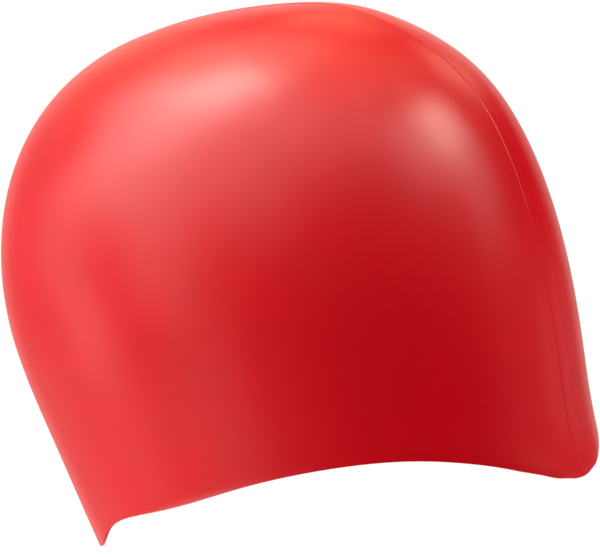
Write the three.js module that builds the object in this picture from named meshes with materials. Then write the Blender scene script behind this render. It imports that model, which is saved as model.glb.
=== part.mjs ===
import * as THREE from 'three';

// Swim cap: one moulded silicone shell that stands on its own rim.
// Millimetres. +X points out of the forehead, +Y to the wearer's left, +Z up.

// Driving dimensions
const capLength = 194; // forehead to the back of the head, at the fullest level
const capWidth = 153; // side to side, at the fullest level
const capHeight = 163.5; // lowest part of the rim to the crown
const wall = 1;
const rimRise = 20.5; // how far the rim arches up over the temples
const seamWidth = 1.6; // raised mould line along the middle, rim to rim over the crown
const seamHeight = 0.35;

// Level sections of the head form. rise is the angle up the height's arc: 0 at the lowest rim, 90 at the
// crown. length and width are shares of the cap's own, and shift is how far the section's middle lies
// forward, as a share of the length. The nape tucks in under the back of the head.
const sections = [
  { rise: 0, length: 0.9, width: 0.975, shift: -0.003 },
  { rise: 4, length: 0.908, width: 0.98, shift: -0.0165 },
  { rise: 12, length: 0.947, width: 0.985, shift: -0.0325 },
  { rise: 25, length: 0.997, width: 0.997, shift: -0.055 },
  { rise: 40, length: 0.965, width: 0.91, shift: -0.0645 },
  { rise: 55, length: 0.821, width: 0.743, shift: -0.0635 },
  { rise: 70, length: 0.562, width: 0.488, shift: -0.063 },
  { rise: 80, length: 0.335, width: 0.266, shift: -0.053 },
  { rise: 90, length: 0, width: 0, shift: -0.05 },
];

// Edge of the cap round one side. angle runs from the middle of the forehead to the middle of the nape,
// and height is a share of the rim's rise.
const rim = [
  { angle: 0, height: 0 },
  { angle: 9, height: 0.04 },
  { angle: 18, height: 0.3 },
  { angle: 30, height: 0.615 },
  { angle: 45, height: 0.89 },
  { angle: 62, height: 1 },
  { angle: 80, height: 0.927 },
  { angle: 100, height: 0.707 },
  { angle: 115, height: 0.585 },
  { angle: 126, height: 0.395 },
  { angle: 134, height: 0.156 },
  { angle: 142, height: 0 },
  { angle: 180, height: 0 },
];

// The wall is a square grid of cells drawn over the head form, as a cloth would be, so that no lines
// crowd together at the crown.
const cellCount = 21; // cells from the crown to the rim, along the middle and to each side

const crownRise = 90; // degrees
const quarterTurn = 90;
const { clamp, degToRad, radToDeg } = THREE.MathUtils;

// Natural cubic curve through one column of a table, read against another.
function curveThrough(rows, readColumn, valueColumn) {
  const at = rows.map((row) => row[readColumn]);
  const value = rows.map((row) => row[valueColumn]);
  const last = rows.length - 1;
  const bend = new Array(last + 1).fill(0);
  const carry = new Array(last + 1).fill(0);
  for (let i = 1; i < last; i += 1) {
    const span = at[i + 1] - at[i - 1];
    const before = (at[i] - at[i - 1]) / span;
    const pivot = before * bend[i - 1] + 2;
    const slopeAfter = (value[i + 1] - value[i]) / (at[i + 1] - at[i]);
    const slopeBefore = (value[i] - value[i - 1]) / (at[i] - at[i - 1]);
    bend[i] = (before - 1) / pivot;
    carry[i] = ((6 * (slopeAfter - slopeBefore)) / span - before * carry[i - 1]) / pivot;
  }
  for (let i = last - 1; i > 0; i -= 1) {
    bend[i] = bend[i] * bend[i + 1] + carry[i];
  }
  return (place) => {
    let upper = 1;
    while (upper < last && at[upper] < place) upper += 1;
    const lower = upper - 1;
    const gap = at[upper] - at[lower];
    const a = (at[upper] - place) / gap;
    const b = 1 - a;
    const straight = a * value[lower] + b * value[upper];
    return straight + ((a ** 3 - a) * bend[lower] + (b ** 3 - b) * bend[upper]) * (gap ** 2 / 6);
  };
}

const lengthShare = curveThrough(sections, 'rise', 'length');
const widthShare = curveThrough(sections, 'rise', 'width');
const shiftShare = curveThrough(sections, 'rise', 'shift');
const rimShare = curveThrough(rim, 'angle', 'height');

const halfWidthAt = (rise) => (capWidth / 2) * widthShare(rise);

// Point of the outer surface at a rise and an angle round the head, both in degrees.
function onHead(rise, angle) {
  const turn = degToRad(angle);
  const middle = capLength * shiftShare(rise);
  return new THREE.Vector3(
    middle + (capLength / 2) * lengthShare(rise) * Math.cos(turn),
    halfWidthAt(rise) * Math.sin(turn),
    capHeight * Math.sin(degToRad(rise)),
  );
}

function outwardAt(rise, angle) {
  const step = 0.05;
  if (rise > crownRise - 2 * step) return new THREE.Vector3(0, 0, 1);
  const upward = onHead(rise + step, angle).sub(onHead(rise - step, angle));
  const round = onHead(rise, angle + step).sub(onHead(rise, angle - step));
  return round.cross(upward).normalize();
}

// Rise of a place that lies some share of the way from the crown down to the rim. Between its level rows
// the rim's curve would dip a little below zero, and it is held at zero so that the cap stands flat.
function riseAt(reach, angle) {
  const fromFront = radToDeg(Math.acos(Math.cos(degToRad(angle))));
  const edgeHeight = rimRise * Math.max(0, rimShare(fromFront));
  const edgeRise = radToDeg(Math.asin(edgeHeight / capHeight));
  return crownRise - reach * (crownRise - edgeRise);
}

// Reach and angle of a grid place: along is 1 at the forehead and -1 at the nape, across is 1 at the
// left side and -1 at the right, and the square's outline lands on the rim.
function gridPlace(along, across) {
  const reach = Math.max(Math.abs(along), Math.abs(across));
  if (reach === 0) return { reach, angle: 0 };
  if (Math.abs(along) >= Math.abs(across)) {
    return { reach, angle: (along > 0 ? 0 : 2 * quarterTurn) + (quarterTurn / 2) * (across / along) };
  }
  return { reach, angle: Math.sign(across) * quarterTurn - (quarterTurn / 2) * (along / across) };
}

// The mould line's two edges keep half its width from the middle, all the way over the crown.
function seamEdgePlace(along, side) {
  const smallReach = 0.01;
  const seamReach = (smallReach * (seamWidth / 2)) / halfWidthAt(riseAt(smallReach, quarterTurn));
  const reach = Math.max(Math.abs(along), seamReach);
  const sine = clamp(seamWidth / 2 / halfWidthAt(riseAt(reach, 0)), 0, 1);
  const fromMiddle = radToDeg(Math.asin(sine));
  return { reach, angle: side * (along < 0 ? 2 * quarterTurn - fromMiddle : fromMiddle) };
}

function gridLines() {
  const count = 2 * cellCount + 1;
  return Array.from({ length: count }, (_, line) => line / cellCount - 1);
}

// Rows of the grid from the right side to the left. The mould line adds a row on each side of the middle.
function gridRows() {
  const plain = gridLines().map((across) => ({ raise: 0, placeAt: (along) => gridPlace(along, across) }));
  const seamEdge = (side) => ({ raise: 0, placeAt: (along) => seamEdgePlace(along, side) });
  const crest = { ...plain[cellCount], raise: seamHeight };
  return [...plain.slice(0, cellCount), seamEdge(-1), crest, seamEdge(1), ...plain.slice(cellCount + 1)];
}

// Outer and inner point at one place. On the rim the inner point lies level with the outer one.
function wallPoints(place, raise) {
  const rise = riseAt(place.reach, place.angle);
  const outward = outwardAt(rise, place.angle);
  if (place.reach === 1) outward.setZ(0).normalize();
  const surface = onHead(rise, place.angle);
  return {
    outer: surface.clone().addScaledVector(outward, raise),
    inner: surface.clone().addScaledVector(outward, -wall),
  };
}

function shellGeometry() {
  const rows = gridRows();
  const lines = gridLines();
  const points = rows.flatMap((row) => lines.map((along) => wallPoints(row.placeAt(along), row.raise)));
  const innerStart = points.length;
  const lastRow = rows.length - 1;
  const lastLine = lines.length - 1;
  const index = (row, line) => row * lines.length + line;
  const faces = [];

  const addQuad = (a, b, c, d) => faces.push(a, b, c, a, c, d);
  const addCell = (a, b, c, d) => {
    addQuad(a, b, c, d);
    addQuad(innerStart + a, innerStart + d, innerStart + c, innerStart + b);
  };
  for (let row = 0; row < lastRow; row += 1) {
    for (let line = 0; line < lastLine; line += 1) {
      const corners = [index(row, line), index(row, line + 1)];
      corners.push(index(row + 1, line + 1), index(row + 1, line));
      // Each cell is cut along the diagonal that runs out towards the square's corner.
      const outwardCut = row < lastRow / 2 === line < lastLine / 2;
      if (!outwardCut) corners.push(corners.shift());
      addCell(...corners);
    }
  }

  const edge = [];
  for (let line = 0; line < lastLine; line += 1) edge.push(index(0, line));
  for (let row = 0; row < lastRow; row += 1) edge.push(index(row, lastLine));
  for (let line = lastLine; line > 0; line -= 1) edge.push(index(lastRow, line));
  for (let row = lastRow; row > 0; row -= 1) edge.push(index(row, 0));
  edge.forEach((here, i) => {
    const next = edge[(i + 1) % edge.length];
    addQuad(here, innerStart + here, innerStart + next, next);
  });

  const geometry = new THREE.BufferGeometry();
  geometry.setFromPoints([...points.map((point) => point.outer), ...points.map((point) => point.inner)]);
  geometry.setIndex(faces);
  geometry.computeVertexNormals();
  return geometry;
}

// The cap stands on Z = 0 with the middle of its outline over the origin.
function standOnOrigin(geometry) {
  geometry.computeBoundingBox();
  const { min, max } = geometry.boundingBox;
  geometry.translate(-(min.x + max.x) / 2, -(min.y + max.y) / 2, -min.z);
  return geometry;
}

function makeCap() {
  const redSilicone = new THREE.MeshStandardMaterial({ color: 0xd81e28, roughness: 0.36, metalness: 0 });
  const cap = new THREE.Mesh(standOnOrigin(shellGeometry()), redSilicone);
  cap.name = 'cap_shell';
  return cap;
}

const swimCap = new THREE.Group();
swimCap.add(makeCap());

export default swimCap;
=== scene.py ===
import math

import bpy
from mathutils import Matrix, Vector


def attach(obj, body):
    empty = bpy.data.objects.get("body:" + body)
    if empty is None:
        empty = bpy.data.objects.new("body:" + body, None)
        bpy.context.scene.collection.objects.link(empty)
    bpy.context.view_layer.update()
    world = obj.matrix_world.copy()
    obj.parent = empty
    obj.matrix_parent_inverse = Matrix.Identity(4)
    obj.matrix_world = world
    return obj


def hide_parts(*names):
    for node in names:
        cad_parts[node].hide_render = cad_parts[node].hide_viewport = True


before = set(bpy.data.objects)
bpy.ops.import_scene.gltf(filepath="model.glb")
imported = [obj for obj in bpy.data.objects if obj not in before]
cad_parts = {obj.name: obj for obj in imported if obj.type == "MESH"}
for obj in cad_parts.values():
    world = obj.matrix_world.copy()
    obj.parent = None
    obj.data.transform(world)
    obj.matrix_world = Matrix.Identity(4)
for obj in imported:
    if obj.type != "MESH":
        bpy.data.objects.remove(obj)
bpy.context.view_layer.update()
bpy.ops.object.select_all(action="DESELECT")


def report(stage):
    print("swim cap:", stage)


def makeActive(piece):
    bpy.ops.object.select_all(action="DESELECT")
    piece.select_set(True)
    bpy.context.view_layer.objects.active = piece


def applyModifier(piece, kind, settings):
    makeActive(piece)
    modifier = piece.modifiers.new(kind.title(), kind)
    for setting, value in settings.items():
        setattr(modifier, setting, value)
    bpy.ops.object.modifier_apply(modifier=modifier.name)


def smoothStep(value, start, end):
    share = min(max((value - start) / (end - start), 0.0), 1.0)
    return share * share * (3 - 2 * share)


def towards(azimuth, elevation):  # azimuth 0 looks out over -Y
    a, e = math.radians(azimuth), math.radians(elevation)
    return Vector((math.sin(a) * math.cos(e), -math.cos(a) * math.cos(e), math.sin(e)))


# Camera at the photograph's angle to the cap

cameraSetup = {
    "azimuth": 33.029,
    "elevation": 4.703,
    "roll": 10.568,           # the picture shows the cap's front tipped up
    "distance": 1.5,
    "lens": 277.44,
    "sensorWidth": 36,
    "clipRange": (0.05, 60),
    "target": (0.010936, 0.0, 0.082),
    "targetRight": 0.002174,  # the target's place from the picture's middle
    "targetUp": 0.008348,
}


def makeCamera(s):
    back = towards(s["azimuth"], s["elevation"])
    a, roll = math.radians(s["azimuth"]), math.radians(s["roll"])
    level = Vector((math.cos(a), math.sin(a), 0))
    upright = back.cross(level)
    right = level * math.cos(roll) - upright * math.sin(roll)
    up = level * math.sin(roll) + upright * math.cos(roll)
    place = Vector(s["target"]) + back * s["distance"]
    place -= right * s["targetRight"] + up * s["targetUp"]
    turn = Matrix((right, up, back)).transposed().to_4x4()
    data = bpy.data.cameras.new("camera")
    data.lens, data.sensor_width = s["lens"], s["sensorWidth"]
    data.clip_start, data.clip_end = s["clipRange"]
    camera = bpy.data.objects.new("camera", data)
    camera.matrix_world = Matrix.Translation(place) @ turn
    bpy.context.scene.collection.objects.link(camera)
    bpy.context.scene.camera = camera


makeCamera(cameraSetup)
report("camera placed")


# Shader sums written as Python expressions

class Val:
    def __init__(self, tree, socket):
        self.tree = tree
        self.socket = socket

    def node(self, kind, settings=None, inputs=None, output=0):
        made = self.tree.nodes.new(kind)
        for name, value in (settings or {}).items():
            setattr(made, name, value)
        for name, value in (inputs or {}).items():
            if isinstance(value, Val):
                self.tree.links.new(value.socket, made.inputs[name])
            else:
                made.inputs[name].default_value = value
        return Val(self.tree, made.outputs[output] if made.outputs else None)

    def sum(self, operation, a, b):
        return self.node("ShaderNodeMath", {"operation": operation}, {0: a, 1: b})

    def __add__(self, other):
        return self.sum("ADD", self, other)

    def __radd__(self, other):
        return self.sum("ADD", other, self)

    def __sub__(self, other):
        return self.sum("SUBTRACT", self, other)

    def __rsub__(self, other):
        return self.sum("SUBTRACT", other, self)

    def __mul__(self, other):
        return self.sum("MULTIPLY", self, other)

    def __rmul__(self, other):
        return self.sum("MULTIPLY", other, self)

    def between(self, start, end):  # 0 at start, 1 at end, soft at both
        return self.node("ShaderNodeMapRange", {"interpolation_type": "SMOOTHSTEP"},
                         {"Value": self, "From Min": start, "From Max": end})

    def blend(self, low, high):  # colours, by this as the share of high
        return self.node("ShaderNodeMix", {"data_type": "RGBA"},
                         {0: self, 6: (*low, 1) if isinstance(low, tuple) else low, 7: (*high, 1)},
                         output=2)


def newMaterial(name):
    material = bpy.data.materials.new(name)
    material.use_nodes = True
    material.node_tree.nodes.clear()
    return material, Val(material.node_tree, None)


# Silicone shell

shellForm = {
    "wall": 0.001,
    "cadWeld": 1e-5,            # joins the corners of the CAD node's loose triangles
    "cadMiddle": (0, 0, 0.06),  # the outer wall's faces look away from here
    "cadEdgeSlope": -0.6,       # the rim's edge looks down more steeply than this
    "cadLineHeight": 0.00035,   # ridge on the CAD node, redrawn finer here
    "cadLineReach": 0.0002,
    "smoothing": 2,
    "regain": 0.00012,          # what the smoothing takes off the curved wall
    "rimMiddle": 0.0101,        # the rim's own outline, for the turn along it
    "rimHalfLength": 0.0875,
    "rimHalfWidth": 0.0746,
    "rimLifts": (               # where the soft edge stands a little high
        (130, 144, 200, 209, 0.002),  # turns at start, full, last and end, and height
        (1, 7, 12, 22, 0.0011),
        (338, 348, 353, 359, 0.0011),
    ),
    "rimLiftFade": (0.0, 0.03),
    "waveHeight": 0.0002,       # slow unevenness of the moulding
    "waveSize": 0.055,
    "waveFade": (0.004, 0.03),  # none at the rim, which stands level
    "foldHeight": 0.00016,      # soft upright folds beside the mould line, low on the forehead
    "folds": (                  # place across, half width, share of the height
        (0.0026, 0.0016, 1.0),
        (0.0062, 0.0013, -1.0),
        (-0.0042, 0.0018, -0.7),
    ),
    "foldFade": (0.012, 0.03, 0.055, 0.08),  # heights where they start, are full, wane and end
    "mouldLineHeight": 0.00018,
    "mouldLineHalfWidth": 0.0005,
    "rimRound": 0.0003,
    "rimRoundSteps": 3,
}


def selectFaces(piece, wanted):
    makeActive(piece)
    bpy.ops.object.mode_set(mode="EDIT")
    bpy.ops.mesh.select_all(action="DESELECT")
    bpy.ops.mesh.select_mode(type="FACE")
    bpy.ops.object.mode_set(mode="OBJECT")
    for face in piece.data.polygons:
        face.select = wanted(face)
    bpy.ops.object.mode_set(mode="EDIT")


def weighVertices(piece, name, weightAt):
    group = piece.vertex_groups.new(name=name)
    for vertex in piece.data.vertices:
        weight = weightAt(vertex.co)
        if weight > 0:
            group.add([vertex.index], weight, "REPLACE")


def pushOut(piece, height, group="", texture=None):
    settings = {"direction": "NORMAL", "mid_level": 0.0, "vertex_group": group, "strength": height}
    if texture:
        settings |= {"mid_level": 0.5, "texture": texture, "texture_coords": "LOCAL"}
    applyModifier(piece, "DISPLACE", settings)


def rimLift(s, co):
    ahead = (co.x - s["rimMiddle"]) / s["rimHalfLength"]
    turn = math.degrees(math.atan2(co.y / s["rimHalfWidth"], ahead)) % 360
    lift = sum(height * smoothStep(turn, start, full) * (1 - smoothStep(turn, last, end))
               for start, full, last, end, height in s["rimLifts"])
    return lift * (1 - smoothStep(co.z, *s["rimLiftFade"]))


def foldOffset(s, co):
    start, full, wane, end = s["foldFade"]
    if co.x < 0 or not start < co.z < end:
        return 0.0
    upright = smoothStep(co.z, start, full) * (1 - smoothStep(co.z, wane, end))
    swell = sum(share * math.exp(-((co.y - across) / halfWidth) ** 2)
                for across, halfWidth, share in s["folds"])
    return s["foldHeight"] * upright * swell


def keepOuterWall(shell, s):
    makeActive(shell)
    bpy.ops.object.mode_set(mode="EDIT")
    bpy.ops.mesh.select_all(action="SELECT")
    bpy.ops.mesh.remove_doubles(threshold=s["cadWeld"])
    bpy.ops.object.mode_set(mode="OBJECT")
    middle = Vector(s["cadMiddle"])
    selectFaces(shell, lambda face: face.normal.z < s["cadEdgeSlope"]
                or face.normal.dot(face.center - middle) < 0)
    bpy.ops.mesh.delete(type="FACE")
    bpy.ops.mesh.select_all(action="SELECT")
    bpy.ops.mesh.tris_convert_to_quads(face_threshold=math.radians(60),
                                       shape_threshold=math.radians(80))
    bpy.ops.mesh.delete_loose()
    bpy.ops.object.mode_set(mode="OBJECT")


def makeShell(s):
    shell = bpy.data.objects.new("silicone_shell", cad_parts["cap_shell"].data.copy())
    bpy.context.scene.collection.objects.link(shell)
    shell.data.materials.clear()

    # the outer wall alone is shaped, and gets its thickness back at the end
    keepOuterWall(shell, s)
    weighVertices(shell, "cadLine", lambda co: 1.0 if abs(co.y) < s["cadLineReach"] else 0.0)
    pushOut(shell, -s["cadLineHeight"], "cadLine")
    applyModifier(shell, "SUBSURF", {"levels": s["smoothing"], "render_levels": s["smoothing"],
                                     "boundary_smooth": "PRESERVE_CORNERS"})
    pushOut(shell, s["regain"])
    for vertex in shell.data.vertices:
        vertex.co.z += rimLift(s, vertex.co)

    wave = bpy.data.textures.new("slow unevenness", "CLOUDS")
    wave.noise_scale, wave.noise_depth = s["waveSize"], 0
    weighVertices(shell, "aboveRim", lambda co: smoothStep(co.z, *s["waveFade"]))
    pushOut(shell, s["waveHeight"], "aboveRim", wave)
    for vertex in shell.data.vertices:
        vertex.co.x += foldOffset(s, vertex.co)
    weighVertices(shell, "mouldLine",
                  lambda co: 1 - smoothStep(abs(co.y), 0, s["mouldLineHalfWidth"]))
    pushOut(shell, s["mouldLineHeight"], "mouldLine")

    applyModifier(shell, "SOLIDIFY",
                  {"thickness": s["wall"], "offset": -1, "use_even_offset": True})
    applyModifier(shell, "BEVEL",
                  {"width": s["rimRound"], "segments": s["rimRoundSteps"],
                   "limit_method": "ANGLE", "angle_limit": math.radians(60),
                   "harden_normals": False})
    for vertex in shell.data.vertices:
        vertex.co.z = max(vertex.co.z, 0.0)  # nothing sinks into the floor
    shell.vertex_groups.clear()
    makeActive(shell)
    bpy.ops.object.shade_smooth()
    return shell


siliconeLook = {
    "red": (0.84, 0.0012, 0.012),
    "deepRed": (0.79, 0.001, 0.010),
    "cloudScale": 28.0,         # patches where the red deepens
    "cloudRange": (0.35, 0.65),
    "roughness": 0.34,
    "cloudyRoughness": 0.06,    # how far each pattern moves the roughness
    "streakyRoughness": 0.04,
    "grainyRoughness": 0.03,
    "grainScale": 900.0,
    "streakScale": (18.0, 18.0, 240.0),
    "speckColour": (0.55, 0.002, 0.006),
    "speckShare": 0.5,
    "speckScale": 95.0,
    "speckRadius": (0.02, 0.045),
    "grainBump": 0.4,           # how much of the bump each pattern makes
    "streakBump": 0.2,
    "speckBump": 0.6,
    "bumpStrength": 0.12,
    "bumpDistance": 0.0002,
    "density": 1.8,             # index of refraction
    "subsurface": 0.1,
    "subsurfaceTint": (1.0, 0.12, 0.10),
    "subsurfaceReach": 0.004,
}


def siliconeMaterial(s):
    material, shade = newMaterial("red silicone")
    place = shade.node("ShaderNodeTexCoord", output=3)
    cloudy = shade.node("ShaderNodeTexNoise", {}, {
        "Vector": place, "Scale": s["cloudScale"], "Detail": 3.0, "Roughness": 0.55})
    grain = shade.node("ShaderNodeTexNoise", {}, {
        "Vector": place, "Scale": s["grainScale"], "Detail": 2.0})
    stretched = shade.node("ShaderNodeMapping", {}, {"Vector": place, "Scale": s["streakScale"]})
    streaks = shade.node("ShaderNodeTexNoise", {}, {
        "Vector": stretched, "Scale": 1.0, "Detail": 2.0})
    cells = shade.node("ShaderNodeTexVoronoi", {"feature": "F1"}, {
        "Vector": place, "Scale": s["speckScale"]})
    specks = 1 - cells.between(*s["speckRadius"])

    colour = cloudy.between(*s["cloudRange"]).blend(s["red"], s["deepRed"])
    colour = (specks * s["speckShare"]).blend(colour, s["speckColour"])
    roughness = s["roughness"] + (cloudy - 0.5) * s["cloudyRoughness"]
    roughness = roughness + (streaks - 0.5) * s["streakyRoughness"]
    roughness = roughness + (grain - 0.5) * s["grainyRoughness"]
    height = grain * s["grainBump"] + streaks * s["streakBump"] + specks * s["speckBump"]
    bump = shade.node("ShaderNodeBump", {}, {
        "Height": height, "Strength": s["bumpStrength"], "Distance": s["bumpDistance"]})

    silicone = shade.node("ShaderNodeBsdfPrincipled", {}, {
        "Base Color": colour,
        "Roughness": roughness,
        "Normal": bump,
        "IOR": s["density"],
        "Subsurface Weight": s["subsurface"],
        "Subsurface Radius": s["subsurfaceTint"],
        "Subsurface Scale": s["subsurfaceReach"],
    })
    shade.node("ShaderNodeOutputMaterial", {}, {"Surface": silicone})
    return material


shell = makeShell(shellForm)
shell.data.materials.append(siliconeMaterial(siliconeLook))
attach(shell, "root")
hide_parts("cap_shell")
report(f"shell made, {sum(len(face.vertices) - 2 for face in shell.data.polygons)} triangles")


# White floor and backdrop, and soft lights all round

white = (1, 1, 1)
softWhite = (1, 1.00, 0.92)

studio = {
    "floorSize": 40.0,
    "floorGlow": 1.0,         # the floor is white wherever it is seen
    "floorShade": 0.05,       # how much of the light and shadow on it shows
    "backdrop": 1.0,          # the surround as the camera sees it
    "surround": 0.185,        # its light on the cap, red as if thrown back by the cap itself
    "surroundColour": (1.0, 0.03, 0.14),
    "lightDistance": 1.2,
    "lightTarget": (0, 0, 0.08),
}

# places, strengths and tints come from a least-squares fit to the photograph's light and shade,
# rounded and in part changed
softboxes = [  # azimuth, elevation, size, watts, colour
    (-90, 75, 0.8, 2.90, (1, 0.86, 0.60)),
    (-40, 70, 0.42, 3.35, softWhite),
    (120, 70, 0.8, 1.40, (1, 0.80, 0.46)),
    (-165, 52, 0.42, 0.69, (1, 0.81, 0.46)),
    (-75, 52, 0.42, 0.99, softWhite),
    (-45, 52, 0.42, 1.72, softWhite),
    (45, 52, 0.8, 1.50, softWhite),
    (-114, 45, 0.8, 0.89, (1, 0.81, 0.48)),
    (-6, 45, 0.8, 2.02, softWhite),
    (-60, 34, 0.42, 1.12, softWhite),
    (-40, 34, 0.42, 0.86, softWhite),
    (80, 34, 0.42, 0.86, softWhite),
    (103, 34, 0.42, 3.10, (1, 0.94, 0.78)),
    (160, 34, 0.42, 0.95, (1, 0.84, 0.56)),
    (-147, 25, 0.8, 0.53, (1, 0.86, 0.58)),
    (-70, 16, 0.42, 0.48, softWhite),
    (-30, 16, 0.42, 0.48, softWhite),
    (110, 16, 0.42, 0.52, softWhite),
    (-93, 12, 0.8, 0.48, softWhite),
    (-60, -2, 0.42, 0.62, (1, 0.98, 0.87)),
    (-20, -2, 0.42, 0.21, softWhite),
    (-147, -4, 1.6, 5.40, (1, 0.95, 0.80)),
    (-90, -25, 0.8, 0.80, softWhite),
    (150, -22, 0.8, 0.48, softWhite),
    (-40, -45, 0.8, 10.00, softWhite),
    (118, -14, 0.8, 0.18, (1, 1.00, 0.95)),
    (120, -45, 0.8, 4.20, (1, 0.12, 0.20)),
]


def makeSoftbox(s, azimuth, elevation, size, watts, colour):
    data = bpy.data.lights.new("softbox", "AREA")
    data.shape, data.size = "SQUARE", size
    data.energy, data.color = watts, colour
    light = bpy.data.objects.new("softbox", data)
    out = towards(azimuth, elevation)
    light.location = Vector(s["lightTarget"]) + out * s["lightDistance"]
    light.rotation_euler = out.to_track_quat("Z", "Y").to_euler()
    light.visible_camera = False
    bpy.context.scene.collection.objects.link(light)


def makeFloor(s):
    bpy.ops.mesh.primitive_plane_add(size=s["floorSize"])
    floor = bpy.context.active_object
    floor.name = "floor"
    material, shade = newMaterial("pale floor")
    glow = shade.node("ShaderNodeEmission", {}, {
        "Color": (*white, 1), "Strength": s["floorGlow"]})
    matt = shade.node("ShaderNodeBsdfDiffuse", {}, {"Color": (*[s["floorShade"]] * 3, 1)})
    pale = shade.node("ShaderNodeAddShader", {}, {0: glow, 1: matt})
    clear = shade.node("ShaderNodeBsdfTransparent")
    under = shade.node("ShaderNodeNewGeometry", output=6)  # from below it doesn't hide the cap
    seen = shade.node("ShaderNodeMixShader", {}, {0: under, 1: pale, 2: clear})
    shade.node("ShaderNodeOutputMaterial", {}, {"Surface": seen})
    floor.data.materials.append(material)
    floor.visible_diffuse = floor.visible_glossy = floor.visible_shadow = False


def makeSurround(s):
    world = bpy.data.worlds.new("surround")
    world.use_nodes = True
    world.node_tree.nodes.clear()
    shade = Val(world.node_tree, None)
    seen = shade.node("ShaderNodeLightPath", output=0)
    strength = seen * s["backdrop"] + (1 - seen) * s["surround"]
    colour = seen.blend(s["surroundColour"], white)
    light = shade.node("ShaderNodeBackground", {}, {"Color": colour, "Strength": strength})
    shade.node("ShaderNodeOutputWorld", {}, {"Surface": light})
    bpy.context.scene.world = world


makeFloor(studio)
makeSurround(studio)
for softbox in softboxes:
    makeSoftbox(studio, *softbox)
bpy.context.scene.view_settings.view_transform = "Standard"
report("studio made")
